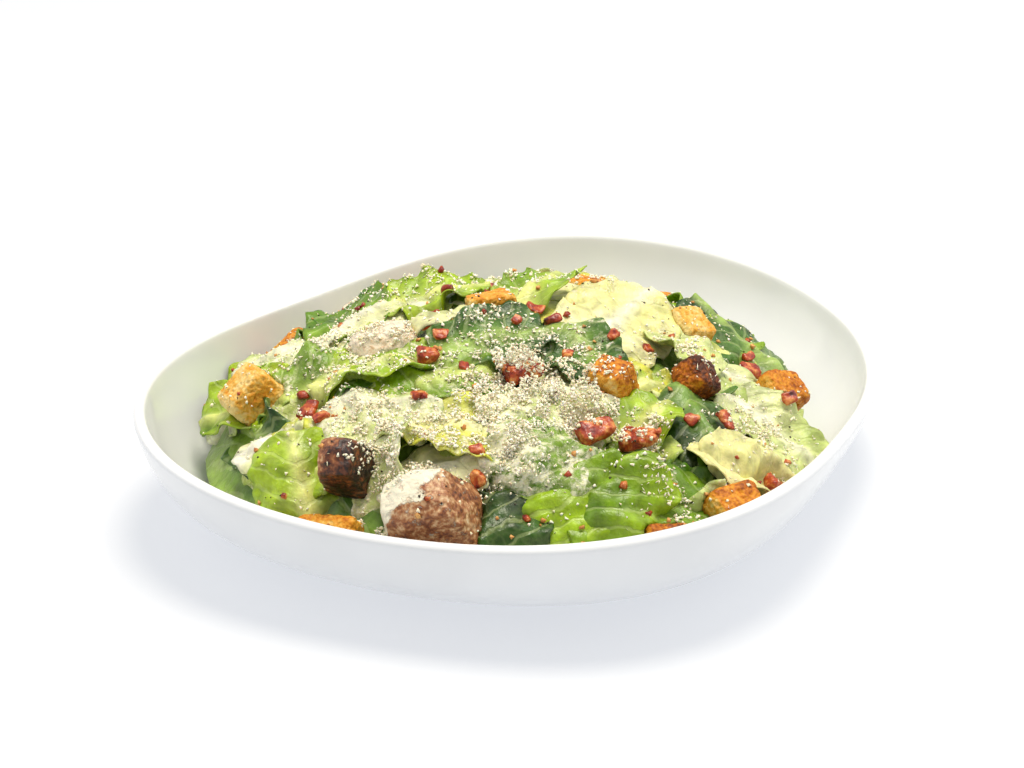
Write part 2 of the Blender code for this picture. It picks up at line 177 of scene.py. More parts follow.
# Materials. Patterns are on Object coordinates, with sizes in mm, or on the leaves' own map.
usualNoise = (0.3, 0.7)  # where most of a noise output lies


def glazedPorcelain():
    # glazed porcelain, fired: an even white with a glassy skin, so lights show as soft-edged spots
    material, tree, shader = newMaterial("glazedPorcelain")
    place = objectPlace(tree)
    body = rampNode(tree, noiseNode(tree, place, 40, 2.0), (0.3, "E6E8EA"), (0.7, "ECEEF0"))
    gloss = rangeNode(tree, noiseNode(tree, place, 15, 3.0), usualNoise, (0.10, 0.17))
    tree.links.new(gloss, shader.inputs["Roughness"])
    peel = noiseNode(tree, place, 6, 1.0)
    finishShader(tree, shader, body, (peel, 0.04, 0.3), {"IOR": 1.5})
    return material


def swing(tree, value, reach):
    # a noise output, turned into a swing of reach either way
    return rangeNode(tree, value, usualNoise, (-reach, reach))


def total(tree, *values):
    result = values[0]
    for value in values[1:]:
        result = mathNode(tree, "ADD", result, value)
    return result


def dressingFilm(tree, place, low, high, most):
    # creamy dressing: where the painted amount is high enough, it breaks up into streaks and drops
    streak = noiseNode(tree, place, 3.2, 6.0, Roughness=0.65)
    wet = total(tree, painted(tree, "dressing"), streak)
    return rangeNode(tree, wet, (low, high), (0.0, most), interpolation_type="SMOOTHSTEP")


def leafVeins(tree, leafMap):
    # the map holds mm / 100 along the rib and away from it: side veins leave the rib with a net between them
    split = addNode(tree, "ShaderNodeSeparateXYZ", {"Vector": leafMap})
    wander = addNode(tree, "ShaderNodeTexNoise", {"Vector": leafMap, "Scale": 10.0, "Detail": 2.0})
    away = mathNode(tree, "ABSOLUTE", split.outputs["Y"])
    slant = mathNode(tree, "MULTIPLY_ADD", away, -veins["slant"], split.outputs["X"])
    bent = mathNode(tree, "MULTIPLY_ADD", wander.outputs["Fac"], 0.10, slant)
    wave = mathNode(tree, "COSINE", mathNode(tree, "MULTIPLY", bent, 2 * math.pi * 100 / veins["spacing"]))
    side = rangeNode(tree, wave, (0.62, 1.0), interpolation_type="SMOOTHSTEP")
    net = addNode(tree, "ShaderNodeTexVoronoi", {
        "Vector": leafMap, "Scale": 100 / veins["net"]}, feature="DISTANCE_TO_EDGE")
    fine = rangeNode(tree, net.outputs["Distance"], (0.0, 0.20), (0.22, 0.0), interpolation_type="SMOOTHSTEP")
    return mathNode(tree, "MAXIMUM", side, fine)


def romaineLeaf():
    # cut romaine, dressed: waxy blade puckered between its veins, paler ribs, and a wet white film that
    # pools;
    # its darker patches are also the bump's hollows, so they are partly random tone and partly painted shade
    material, tree, shader = newMaterial("romaineLeaf")
    place = objectPlace(tree)
    leafMap = addNode(tree, "ShaderNodeUVMap", uv_map="leafMap").outputs["UV"]
    veined = leafVeins(tree, leafMap)
    mottle = noiseNode(tree, place, 5, 5.0)
    grain = noiseNode(tree, place, 1.1, 2.0)
    # the mottle darkens the blade and also lifts the bump, so its dark patches are painted shade in the
    # hollows as well as random tone
    toneAndHollowShade = rangeNode(tree, mottle, usualNoise, (0.54, 1.16))
    blade = mixNode(tree, 1.0, painted(tree, "tint", "Color"), toneAndHollowShade, "MULTIPLY")
    leaf = mixNode(tree, mathNode(tree, "MULTIPLY", veined, 0.20), blade, hexColour("DCE6A4"))
    film = dressingFilm(tree, place, 0.93, 1.16, 0.80)
    curds = rampNode(tree, grain, (0.36, "E6E2B4"), (0.58, "FBF6E0"))
    dressed = mixNode(tree, film, leaf, curds)
    sunk = mathNode(tree, "MULTIPLY_ADD", veined, -0.5, mottle)
    gritty = mathNode(tree, "MULTIPLY_ADD", grain, 0.5, sunk)
    raised = mathNode(tree, "MULTIPLY_ADD", film, 0.7, gritty)
    finishShader(tree, shader, dressed, (raised, 0.7, 0.6), {
        "Roughness": 0.33, "Specular IOR Level": 0.38, "Subsurface Weight": 0.15,
        "Subsurface Radius": (0.5, 0.8, 0.15), "Subsurface Scale": 1.4 * mm})
    return material


def toastedBread():
    # white bread cubes fried in butter: pale porous crumb, orange-brown where they lay in the pan, and paler
    # on their left faces, which is partly painted light
    material, tree, shader = newMaterial("toastedBread")
    place = objectPlace(tree)
    patch = noiseNode(tree, place, 6, 4.0)
    fleck = noiseNode(tree, place, 1.5, 4.0)
    toast = total(tree, painted(tree, "sear"), swing(tree, patch, 0.11), swing(tree, fleck, 0.12))
    browned = rampNode(
        tree, toast, (0.10, "ECD08A"), (0.32, "E0AA44"), (0.50, "D68C1E"), (0.66, "B46410"), (0.80, "7E3E0E"),
        (0.95, "46200C"))
    pores = addNode(tree, "ShaderNodeTexVoronoi", {"Vector": place, "Scale": 1000 / 1.3})
    rough = mathNode(tree, "MULTIPLY_ADD", pores.outputs["Distance"], 0.8, fleck)
    finishShader(tree, shader, browned, (rough, 0.8, 0.6), {
        "Roughness": 0.5, "Specular IOR Level": 0.3, "Subsurface Weight": 0.05,
        "Subsurface Radius": (1.0, 0.5, 0.2), "Subsurface Scale": 1.0 * mm})
    return material


def grilledChicken():
    # grilled breast: pale meat, browned fibres and dark char, with juices and dressing on it, and paler on
    # its left faces, which is partly painted light
    material, tree, shader = newMaterial("grilledChicken")
    place = objectPlace(tree)
    fibre = noiseNode(tree, place, 1.6, 5.0)
    patch = noiseNode(tree, place, 4.5, 4.0)
    char = total(tree, painted(tree, "sear"), swing(tree, patch, 0.16), swing(tree, fibre, 0.20))
    browned = rampNode(
        tree, char, (0.08, "E8D8BE"), (0.30, "D2AC80"), (0.50, "A0663A"), (0.68, "733E20"), (0.84, "3E1E12"),
        (0.96, "1E100A"))
    film = dressingFilm(tree, place, 0.92, 1.06, 0.92)
    dressed = mixNode(tree, film, browned, hexColour("E9E4CC"))
    raised = mathNode(tree, "MULTIPLY_ADD", film, 0.8, fibre)
    finishShader(tree, shader, dressed, (raised, 0.8, 0.7), {
        "Roughness": 0.42, "Subsurface Weight": 0.05, "Subsurface Scale": 1.2 * mm})
    return material


def crispBacon():
    # fried bacon: dark red lean with streaks of amber fat, glossy with its own fat
    material, tree, shader = newMaterial("crispBacon")
    place = objectPlace(tree)
    band = noiseNode(tree, place, 5, 2.0, Distortion=0.6)
    streaked = mathNode(tree, "MULTIPLY_ADD", noiseNode(tree, place, 1.1, 4.0), 0.4, band)
    cured = rampNode(tree, streaked, (0.42, "420C06"), (0.57, "821C0A"), (0.72, "B04416"), (0.88, "DC9650"))
    finishShader(tree, shader, cured, (streaked, 0.8, 0.6), {"Roughness": 0.38, "Coat Weight": 0.1})
    return material


def gratedParmesan():
    # finely grated hard cheese: cream-white, dry, a little translucent
    material, tree, shader = newMaterial("gratedParmesan")
    tone = rampNode(tree, noiseNode(tree, objectPlace(tree), 3, 2.0), (0.35, "F4EAC6"), (0.65, "FFFBEA"))
    finishShader(tree, shader, tone, plain={
        "Roughness": 0.6, "Subsurface Weight": 0.15, "Subsurface Scale": 0.8 * mm})
    return material


def plainFleck(name, dark, light, roughness):
    material, tree, shader = newMaterial(name)
    tone = rampNode(tree, noiseNode(tree, objectPlace(tree), 2, 3.0), (0.35, dark), (0.65, light))
    finishShader(tree, shader, tone, plain={"Roughness": roughness})
    return material


veins = {"spacing": 8, "slant": 0.75, "net": 4.2, "raised": 0.32}  # of the romaine, in mm
porcelain = glazedPorcelain()
romaine = romaineLeaf()
bread = toastedBread()
chicken = grilledChicken()
bacon = crispBacon()
cheese = gratedParmesan()
crumb = plainFleck("fineBreadCrumb", "B4692A", "E2AE66", 0.7)  # fried crumbs off the croutons
pepper = plainFleck("crackedBlackPepper", "1C1712", "4A3A2A", 0.6)  # coarse-ground peppercorn
print("materials made")


# Bowl: turned, then pulled out of round. Lengths in mm; each wave is (waves round the rim, cosine, sine).
bowlShape = {
    "footRadius": 80, "footRing": 6, "footRecess": 1.2,
    "rimRadius": 136.3, "rimCentre": (12, -6), "rimHeight": 45,
    "outOfRound": ((2, 0.004, 0.084), (3, -0.046, -0.005), (4, 0.0, 0.027)),
    "rimWave": ((1, -2.0, 2.7), (2, -1.7, -1.3), (3, -2.9, -1.9)),
    "wall": 4.2, "floor": 5.5, "turns": 180, "wallSteps": 36, "lipSteps": 12,
    "cavityTop": 140, "cavityTurns": 90,
    "curve": ((0.0, 0.0), (0.16, 0.02), (0.32, 0.055), (0.50, 0.13), (0.66, 0.245),
              (0.79, 0.40), (0.89, 0.58), (0.96, 0.78), (1.0, 0.97)),
}


def waves(terms, angle):
    return sum(c * math.cos(n * angle) + s * math.sin(n * angle) for n, c, s in terms)


def outOfRound(radius, height, angle):
    # where the wavy bowl has a point of the round one, in metres
    shape = bowlShape
    share = max(0.0, (radius - shape["footRadius"]) / (shape["rimRadius"] - shape["footRadius"]))
    reach = radius + shape["rimRadius"] * waves(shape["outOfRound"], angle) * share
    lifted = height * (1 + share * waves(shape["rimWave"], angle) / shape["rimHeight"])
    x = reach * math.cos(angle) + shape["rimCentre"][0] * share
    y = reach * math.sin(angle) + shape["rimCentre"][1] * share
    return Vector((x, y, lifted)) * mm


def smoothCurve(points, steps):
    # a curve through the points, with even steps between its ends
    out = []
    last = len(points) - 1
    for i in range(steps + 1):
        t = i / steps * last
        k = min(int(t), last - 1)
        f = t - k
        near = [points[min(max(k + j, 0), last)] for j in (-1, 0, 1, 2)]
        out.append(tuple(
            0.5 * (2 * b + (c - a) * f + (2 * a - 5 * b + 4 * c - d) * f * f
                   + (3 * b - a - 3 * c + d) * f ** 3)
            for a, b, c, d in zip(*near)))
    return out


def wallLine(inset):
    shape = bowlShape
    span = shape["rimRadius"] - shape["footRadius"]
    line = [(shape["footRadius"] + span * out, shape["rimHeight"] * up)
            for out, up in smoothCurve(shape["curve"], shape["wallSteps"])]
    moved = []
    for i, (radius, height) in enumerate(line):
        before, after = line[max(i - 1, 0)], line[min(i + 1, len(line) - 1)]
        along = Vector((after[0] - before[0], after[1] - before[1])).normalized()
        moved.append((radius - along.y * inset, height + along.x * inset))
    return moved


def turned(name, profile, turns):
    # turns (radius, height) points about the axis, with both ends on it
    points = []
    for radius, height in profile:
        if radius < 1e-6:
            points.append(outOfRound(0, height, 0))
        else:
            points.extend(outOfRound(radius, height, 2 * math.pi * i / turns) for i in range(turns))
    starts, count = [], 0
    for radius, _ in profile:
        starts.append((count, radius < 1e-6))
        count += 1 if radius < 1e-6 else turns
    faces = []
    for (a, aPole), (b, bPole) in zip(starts, starts[1:]):
        for i in range(turns):
            j = (i + 1) % turns
            if aPole:
                faces.append((a, b + j, b + i))
            elif bPole:
                faces.append((a + i, a + j, b))
            else:
                faces.append((a + i, a + j, b + j, b + i))
    mesh = bpy.data.meshes.new(name)
    mesh.from_pydata(points, [], faces)
    bm = bmeshOf(mesh)
    bmesh.ops.recalc_face_normals(bm, faces=bm.faces)
    bm.to_mesh(mesh)
    bm.free()
    return mesh


def meshTree(mesh):
    bm = bmeshOf(mesh)
    tree = BVHTree.FromBMesh(bm)
    bm.free()
    return tree


def bowlProfiles():
    # the bowl's section from under its middle, over the lip, to the middle of its floor, and the space that
    # it leaves for food, both as (radius, height)
    floor, footRadius, recess = bowlShape["floor"], bowlShape["footRadius"], bowlShape["footRecess"]
    outer = wallLine(0)
    inner = [p for p in wallLine(bowlShape["wall"]) if p[1] > floor + 0.3]
    middle = (Vector(outer[-1]) + Vector(inner[-1])) / 2
    half = Vector(inner[-1]) - middle
    rise = Vector((half.y, -half.x))
    angles = [math.pi * i / bowlShape["lipSteps"] for i in range(1, bowlShape["lipSteps"])]
    lip = [tuple(middle - half * math.cos(a) + rise * math.sin(a)) for a in angles]
    ring = footRadius - bowlShape["footRing"]
    foot = [(0, recess), (ring - 3, recess), (ring - 1, recess * 0.7), (ring - 0.3, 0.2), (ring + 0.6, 0),
            (footRadius - 1.0, 0), (footRadius - 0.2, 0.06)]
    flat = [(footRadius * share, floor) for share in (0.9, 0.75, 0.5, 0.25)]
    section = foot + outer[1:] + lip + inner[::-1] + flat + [(0, floor)]
    top = bowlShape["cavityTop"]
    return section, [(0, floor), flat[0]] + inner + [(inner[-1][0], top), (0, top)]


bowlSection, cavitySection = bowlProfiles()
bowl = meshPiece("bowlGlazed", turned("bowlGlazed", bowlSection, bowlShape["turns"]), porcelain)
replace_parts(bowl, "bowl")
cavityTree = meshTree(turned("cavity", cavitySection, bowlShape["cavityTurns"]))
print("bowl made")


# Heap: the dome is what the eye takes as the salad's surface, and the core lies below it, in mm.
heap = {"centre": (3, -1), "radius": 115, "edge": 20, "rise": 51, "fall": 0.6, "coreBelow": 8.5, "gap": 0.35,
        "puckersAbove": 16}


def coreProfile():
    edge = heap["edge"] - heap["coreBelow"]
    low = bowlShape["floor"] + heap["gap"]
    under = [(0, low), (bowlShape["footRadius"] * 0.88, low)]
    under += [p for p in wallLine(bowlShape["wall"] + heap["gap"])[::3] if low + heap["gap"] < p[1] < edge]
    over = []
    for ring in range(25):
        radius = heap["radius"] * 0.985 * math.cos(0.5 * math.pi * ring / 24)
        share = min(1.0, radius / heap["radius"])
        over.append((radius if ring < 24 else 0.0, edge + heap["rise"] * (1 - share * share) ** heap["fall"]))
    return under + over


coreMesh = turned("saladCore", coreProfile(), 120)
coreTree = meshTree(coreMesh)


def seat(x, y):
    # the core's surface under x, y, or the nearest spot further in, and its normal
    spot = Vector((x * mm, y * mm, 1.0))
    point = None
    while point is None:
        point, normal, _, _ = coreTree.ray_cast(spot, Vector((0, 0, -1)))
        spot = Vector((spot.x * 0.98, spot.y * 0.98, 1.0))
    return point, normal if normal.z > 0 else -normal


def seatMatrix(point, normal, yaw, pitch, roll, lift):
    heading = Vector((math.cos(math.radians(yaw)), math.sin(math.radians(yaw)), 0))
    along = (heading - normal * heading.dot(normal)).normalized()
    across = normal.cross(along)
    turnedFrame = Matrix((along, across, normal)).transposed().to_4x4()
    turn = Matrix.Rotation(math.radians(-pitch), 4, "Y") @ Matrix.Rotation(math.radians(roll), 4, "X")
    return Matrix.Translation(point + normal * (lift * mm)) @ turnedFrame @ turn


# Toppings: the CAD's own solids, worn and browned. Sear runs from 0, pale, to 1, black. Pale is a direction,
# the same for every piece, and what it takes off the sear on the faces turned that way: the side that didn't
# lie in the pan, and partly painted light, the left faces painted paler than the faces turned from them, as a
# lit and a shaded side. Wet is the dressing, and how much more of it the pale side has.
toppings = {
    "crouton": {"grid": 0.5, "edge": 0.14, "pale": ((-0.75, -0.6, -0.2), 0.24), "wet": {}, "sear": {
        "crouton_left": 0.34, "crouton_front_left": 0.44, "crouton_top_left": 0.44,
        "crouton_back_right": 0.30, "crouton_centre": 0.60, "crouton_right": 0.92, "crouton_far_right": 0.60,
        "crouton_front_right": 0.64, "crouton_low_right": 0.74, "crouton_hidden_left": 0.54,
        "crouton_hidden_back": 0.60, "crouton_hidden_mid": 0.50, "crouton_hidden_right": 0.58}},
    "chicken": {
        "grid": 0.6, "edge": 0.06, "pale": ((-0.75, 0.2, 0.6), 0.34),
        "wet": {"chicken_front": (0.32, 0.30), "chicken_back_left": (0.42, 0.0)},
        "sear": {"chicken_front": 0.52, "chicken_dark": 0.86, "chicken_back_left": 0.14,
                 "chicken_hidden_back": 0.46, "chicken_hidden_left": 0.40}},
    "bacon": {"grid": 0.4, "edge": 0.0, "pale": ((0, 0, 1), 0.0), "wet": {},
              "sear": {name: 0.0 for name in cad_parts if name.startswith("bacon")}},
}


def wornCopy(node, grid):
    # the CAD solid, merged, remeshed at the grain of its surface and rounded a little, and how much each
    # point would give to more smoothing, in mm, which is most along edges
    bm = bmeshOf(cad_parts[node].data)
    bm.transform(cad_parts[node].matrix_world)
    bmesh.ops.remove_doubles(bm, verts=bm.verts, dist=0.001 * mm)
    source = bpy.data.objects.new(node + "Source", toMesh(bm, node + "Worn"))
    bpy.context.scene.collection.objects.link(source)
    even = source.modifiers.new("grain", "REMESH")
    even.mode = "VOXEL"
    even.voxel_size = grid * mm
    soft = source.modifiers.new("rounding", "SMOOTH")
    soft.factor = 0.5
    soft.iterations = 2
    result = evaluatedMesh(source)
    soft.iterations = 24
    softer = evaluatedMesh(source)
    give = [(a.co - b.co).dot(a.normal) / mm for a, b in zip(result.vertices, softer.vertices)]
    bpy.data.meshes.remove(softer)
    bpy.data.objects.remove(source, do_unlink=True)
    return result, give


def breadRelief(spot, seed):
    # torn crumb: broad dents, and pores 1 to 3 mm wide
    broad = noise.noise(spot / (7 * mm) + seed)
    mid = noise.noise(spot / (2.6 * mm) + seed)
    pore = noise.noise(spot / (1.5 * mm) - seed)
    return 0.55 * broad + 0.45 * mid - 0.7 * ease(0.12, 0.5, pore)


def meatRelief(spot, seed):
    # fibres along X with torn ends, and broad bulges
    broad = noise.noise(spot / (10 * mm) + seed)
    fibre = noise.noise(Vector((spot.x / 7, spot.y / 1.8, spot.z / 1.8)) / mm + seed)
    torn = noise.noise(spot / (3 * mm) - seed)
    return 0.9 * broad + 0.45 * fibre + 0.35 * abs(torn)


def baconRelief(spot, seed):
    # shrunk and blistered in the pan
    return 0.55 * noise.noise(spot / (3.2 * mm) + seed) + 0.3 * noise.noise(spot / (1.3 * mm) - seed)


reliefs = {"crouton": breadRelief, "chicken": meatRelief, "bacon": baconRelief}
finishes = {"crouton": (bread, "toast"), "chicken": (chicken, "chicken"), "bacon": (bacon, "bacon")}
toppingPieces = []
toppingTrees = []
for kind, data in toppings.items():
    for number, (node, sear) in enumerate(data["sear"].items()):
        mesh, give = wornCopy(node, data["grid"])
        pale, litSidePaler = Vector(data["pale"][0]).normalized(), data["pale"][1]
        seed = Vector((number * 3.7, len(node) * 1.9, number * 0.8))
        wet, wetter = data["wet"].get(node, (0.20, 0.0))
        normals = [v.normal.copy() for v in mesh.vertices]
        searAndLitSide, wets = [], []
        for vert, normal in zip(mesh.vertices, normals):
            spot = vert.co.copy()
            vert.co = spot + normal * reliefs[kind](spot, seed) * mm * 0.8
            # faces turned towards pale lose sear: partly painted light, a paler left side on every piece
            facingPaleLitSide = ease(0.25, 0.75, normal.dot(pale))
            edge = ease(0.15, 0.7, give[vert.index])
            uneven = 0.12 * noise.noise(spot / (9 * mm) + seed)
            searAndLitSide.append(sear + data["edge"] * edge - litSidePaler * facingPaleLitSide + uneven)
            wets.append(wet + wetter * facingPaleLitSide)
        paint(mesh, "sear", searAndLitSide)
        paint(mesh, "dressing", wets)
        material, slot = finishes[kind]
        piece = meshPiece(node + "Worn", mesh, material)
        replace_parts(piece, node)
        toppingPieces.append(piece)
        tree = meshTree(mesh)
        middle = sum((v.co for v in mesh.vertices), Vector()) / len(mesh.vertices)
        reach = max((v.co - middle).length for v in mesh.vertices)
        toppingTrees.append((tree, middle, reach, kind == "bacon"))
print("toppings made:", len(toppingPieces))


# Romaine. Each row: name, x, y, lift, yaw, pitch, roll, length, width, cup, curl, ruffle (mm and degrees),
# colour, dressing from 0 to 1, and the rib's place across the leaf, from -1 to 1, or 2 if cut beside it.
romaineLeaves = {
    "cell": 1.15, "thickness": 0.55, "corner": 0.62, "ragged": 0.10, "clear": 0.9,
    "ribRaised": 1.3, "ribWidth": 2.2, "ribTaper": 0.8,
    "lumps": ((3.4, 12, 4.1), (1.2, 5.5, 5.3)),  # height, size and the step from leaf to leaf
    "hiddenRings": ((0.84, 30, 168, 7), (0.58, 44, 150, 4), (0.27, 60, 130, 2)),
    "hiddenLength": (40, 52), "hiddenWidth": (28, 38), "hiddenSeed": 11,
    "hiddenColours": ("bright", "pale", "dark", "green", "yellow", "pale", "bright"),
    "colours": {  # blade, deeper blade, rib
        "deep": ("325808", "162E04", "749640"), "dark": ("3E6C10", "1E4506", "9CB858"),
        "green": ("789C1A", "44700C", "C4D370"), "vivid": ("9ABC0C", "5A8006", "DAE276"),
        "bright": ("A8C41A", "72990A", "DFE588"), "yellow": ("DADA56", "B6BF30", "EFECAE"),
        "butter": ("EFEAA6", "DEDC84", "F7F4D2"), "pale": ("D4DD94", "A8BC5C", "EFEFCE"),
        "cream": ("E8E6B6", "CFD68A", "F4F1DA")},
    "shown": (
        ("left_under", -87, -45, 2, -58, 4, 24, 48, 28, 3, -4, 2, "dark", 0.22, 0.1),
        ("left_tip", -92, -23, 5, 168, 4, -12, 42, 30, 4, -2, 2, "bright", 0.30, 0.2),
        ("left_rib", -80, -53, 5, 18, 4, -10, 32, 24, -2, 2, 1, "cream", 0.35, 0.0),
        ("left_bright", -70, -79, 5, 84, 24, 6, 48, 34, -6, -4, 3, "bright", 0.22, -0.2),
        ("inner_fold", -39, -83, 5, 76, 16, -34, 48, 26, 4, -4, 2, "pale", 0.50, 2),
        ("left_yellow", -65, -54, 7, -14, 2, -6, 34, 28, -2, -2, 2, "yellow", 0.45, 2),
        ("left_dressed", -63, -33, 6, 24, 3, 6, 46, 34, 3, -3, 3, "green", 0.45, 0.1),
        ("back_left_white", -80, 4, 6, 172, 4, 4, 44, 34, -3, -2, 3, "pale", 0.50, 0.0),
        ("back_left_cream", -55, 10, 6, 36, 4, 0, 46, 34, -5, -3, 1, "cream", 0.40, 0.2),
        ("mid_left_green", -44, -32, 8, 4, 2, -8, 50, 28, 3, -3, 2, "bright", 0.42, -0.2),
        ("mid_left_pale", -43, -54, 7, -8, 0, -8, 50, 36, -3, -3, 3, "pale", 0.52, 0.1),
        ("top_left_green", -26, 28, 6, 12, 4, 4, 46, 32, 4, -3, 2, "bright", 0.12, 0.0),
        ("top_strip", -19, -7, 10, 12, 2, -4, 36, 15, -1, -1, 0, "cream", 0.30, 2),
        ("top_dark", -3, -24, 8, 22, 4, 6, 48, 32, 4, -3, 2, "dark", 0.40, 0.0),
        ("top_dark_right", 27, -27, 8, -58, 2, 8, 38, 30, 3, -3, 3, "dark", 0.38, 0.2),
        ("top_fan", 44, 6, 9, 62, 12, 10, 58, 46, -5, -4, 4, "butter", 0.36, 0.0),
        ("top_tip", 14, 32, 8, 64, 12, -8, 42, 32, 4, -3, 2, "bright", 0.28, 0.1),
        ("right_back_dark", 90, 42, 7, 148, 8, -8, 50, 40, -4, -2, 2, "dark", 0.0, -0.1),
        ("right_white", 68, -5, 6, -46, 2, 4, 34, 22, 2, -2, 2, "pale", 0.42, 2),
        ("right_pale", 88, -10, 6, -32, 3, 6, 40, 28, -3, -3, 2, "pale", 0.38, 0.1),
        ("right_broad", 97, -35, 7, -26, 4, 10, 50, 36, 5, -3, 3, "pale", 0.36, 0.2),
        ("right_dark", 71, -52, 7, -62, 2, 4, 46, 32, -3, -3, 2, "deep", 0.12, 0.0),
        ("right_ruffle", 85, -63, 7, -4, 2, -12, 50, 26, 2, -2, 5, "butter", 0.32, 2),
        ("right_low", 60, -88, 3, 14, 4, -14, 40, 30, 4, -3, 2, "green", 0.22, 0.2),
        ("front_large", 22, -97, 7, 82, 10, -6, 52, 58, -7, -5, 4, "vivid", 0.24, 2),
        ("centre_yellow", -10, -71, 6, -24, 2, -12, 48, 36, 4, -4, 3, "yellow", 0.38, 0.1),
        ("centre_pale", 17, -55, 8, -8, 2, -8, 52, 46, -4, -3, 2, "pale", 0.55, 0.2),
        ("centre_right", 50, -59, 7, 58, 8, -16, 28, 24, 3, -2, 1, "bright", 0.20, 0.0),
        ("centre_low", 54, -77, 5, 4, 4, -10, 38, 28, -3, -3, 3, "green", 0.34, 2),
        ("front_cream", -23, -85, 6, 18, 6, -10, 40, 30, -3, -3, 2, "cream", 0.42, 0.0),
    ),
    "laidOver": (
        ("front_flap", 15, -88, 13, 262, -16, -4, 36, 46, -6, -7, 3, "green", 0.56, 2),
        # a dark leaf whose near-black green is partly painted shade below the front flap
        ("front_deep", 2, -107, 9, 84, 0, 4, 32, 32, -3, -2, 3, "deep", 0.05, 2),
        ("front_glow", 42, -99, 10, 66, 12, 12, 44, 28, -6, -3, 4, "vivid", 0.04, 2),
        ("ruffle_over", 87, -64, 12, -8, 0, 22, 48, 22, -2, -3, 4, "butter", 0.36, 2),
        ("tucked_left", -42, -45, 6, 6, 0, 18, 46, 22, 1, -2, 2, "bright", 0.36, 2),
        ("tucked_right", -8, -46, 6, 2, 0, 16, 44, 20, 2, -2, 2, "green", 0.40, 0.3),
        ("back_edge_bright", 82, 69, 3, 128, 2, 4, 50, 36, 3, -3, 3, "bright", 0.30, 0.2),
        ("back_edge_dark", 62, 87, 3, 158, 4, -4, 48, 34, -4, -3, 3, "dark", 0.22, 0.0),
        ("back_edge_pale", 38, 98, 4, 148, 2, 6, 48, 36, 3, -3, 3, "pale", 0.42, -0.2),
        ("back_edge_green", 12, 101, 3, 190, 4, -6, 48, 32, -3, -3, 3, "green", 0.30, 0.1),
        ("back_yellow", 34, 58, 4, 30, 2, 4, 44, 30, 3, -3, 2, "yellow", 0.35, 0.1),
        ("back_pale", -14, 76, 3, 80, 2, -4, 46, 32, -3, -3, 3, "pale", 0.38, 2),
        ("back_vivid", 58, 67, 3, 70, 2, 6, 44, 32, 3, -3, 3, "vivid", 0.26, 0.0),
    ),
}


def hiddenLeaves():
    # the side away from the front carries on in rings, by the rule that the CAD uses
    data = romaineLeaves
    draw = random.Random(data["hiddenSeed"])
    rows = []
    for ring, (share, first, last, count) in enumerate(data["hiddenRings"]):
        for i in range(count):
            angle = first + (last - first) * (i + draw.uniform(-0.2, 0.2)) / (count - 1)
            reach = share * heap["radius"]
            rows.append((
                f"hidden_{ring}_{i}",
                heap["centre"][0] + reach * math.cos(math.radians(angle)),
                heap["centre"][1] + reach * math.sin(math.radians(angle)),
                draw.uniform(1, 4), angle + draw.uniform(-70, 70), draw.uniform(0, 10), draw.uniform(-12, 12),
                draw.uniform(*data["hiddenLength"]), draw.uniform(*data["hiddenWidth"]),
                draw.choice((-4, 4)), -3, draw.uniform(2, 4)))
    colours = data["hiddenColours"]
    return [row + (colours[i % len(colours)], 0.22 + 0.06 * (i % 5), (0.0, 0.2, 2, -0.2)[i % 4])
            for i, row in enumerate(rows)]


def leafPoint(u, v, seed, row):
    # a point of the leaf in its own frame, in mm: the CAD's broad shape, then frill, puckers and rib
    length, width, cup, curl, ruffle = row[7:12]
    data = romaineLeaves
    ragged = 1 + data["ragged"] * noise.noise(Vector((u * 1.7, v * 1.7, seed * 3.1)))
    x = u * math.sqrt(1 - data["corner"] * v * v / 2) * ragged * length / 2
    y = v * math.sqrt(1 - data["corner"] * u * u / 2) * ragged * width / 2
    wave = math.sin(math.pi * (2.0 * u + 0.37 * seed)) * abs(v) ** 1.5
    lump = noise.noise(Vector((u * 0.9 + seed, v * 0.9, seed * 1.3)))
    z = cup * v * v + curl * u * u + ruffle * (0.6 * wave + 0.8 * lump)
    edge = abs(v) ** 3
    torn = noise.noise(Vector((x / 4, y / 4, seed * 2.3)))
    x += 1.2 * torn * abs(u) ** 6
    y += 1.4 * torn * edge * (1 if v > 0 else -1)
    frill = math.sin(x / 2.3 + 3.5 * noise.noise(Vector((x / 11, seed * 1.7, v)))) * edge
    z += (0.4 + 0.22 * ruffle) * frill * (0.6 + 1.2 * noise.noise(Vector((x / 14, v, seed * 3.7))))
    z += sum(high * noise.noise(Vector((x / size, y / size, seed * step)))
             for high, size, step in data["lumps"])
    away = y - row[14] * width / 2
    thick = data["ribWidth"] - data["ribTaper"] * u
    z += data["ribRaised"] * math.exp(-(away / thick) ** 2)
    along = 2 * math.pi * (x - veins["slant"] * abs(away)) / veins["spacing"]
    z += veins["raised"] * math.cos(along) * ease(1, 5, abs(away))
    return Vector((x, y, z)), away


def leafTint(local, away, u, seed, width, colours):
    # the blade runs into its deeper tone in patches, and pales along the rib and towards its base
    blade, deep, rib = colours
    broad = noise.noise(Vector((local.x / 16, local.y / 16, seed * 1.9)))
    small = noise.noise(Vector((local.x / 5, local.y / 5, seed * 0.7)))
    tone = mixed(blade, deep, 0.35 + 0.9 * broad + 0.35 * small + 0.25 * u)
    ribShare = math.exp(-(away / (3.4 - 1.2 * u)) ** 2)
    basal = ease(0.4, -1.1, u) * 0.55 * math.exp(-(away / (0.3 * width)) ** 2)
    return mixed(tone, rib, 0.9 * ribShare + basal)


def clearOfBowl(point, clearance):
    nearest, normal, _, _ = cavityTree.find_nearest(point)
    if (nearest - point).dot(normal) < clearance:
        point = nearest - normal * (clearance + 0.1 * mm)
    return point


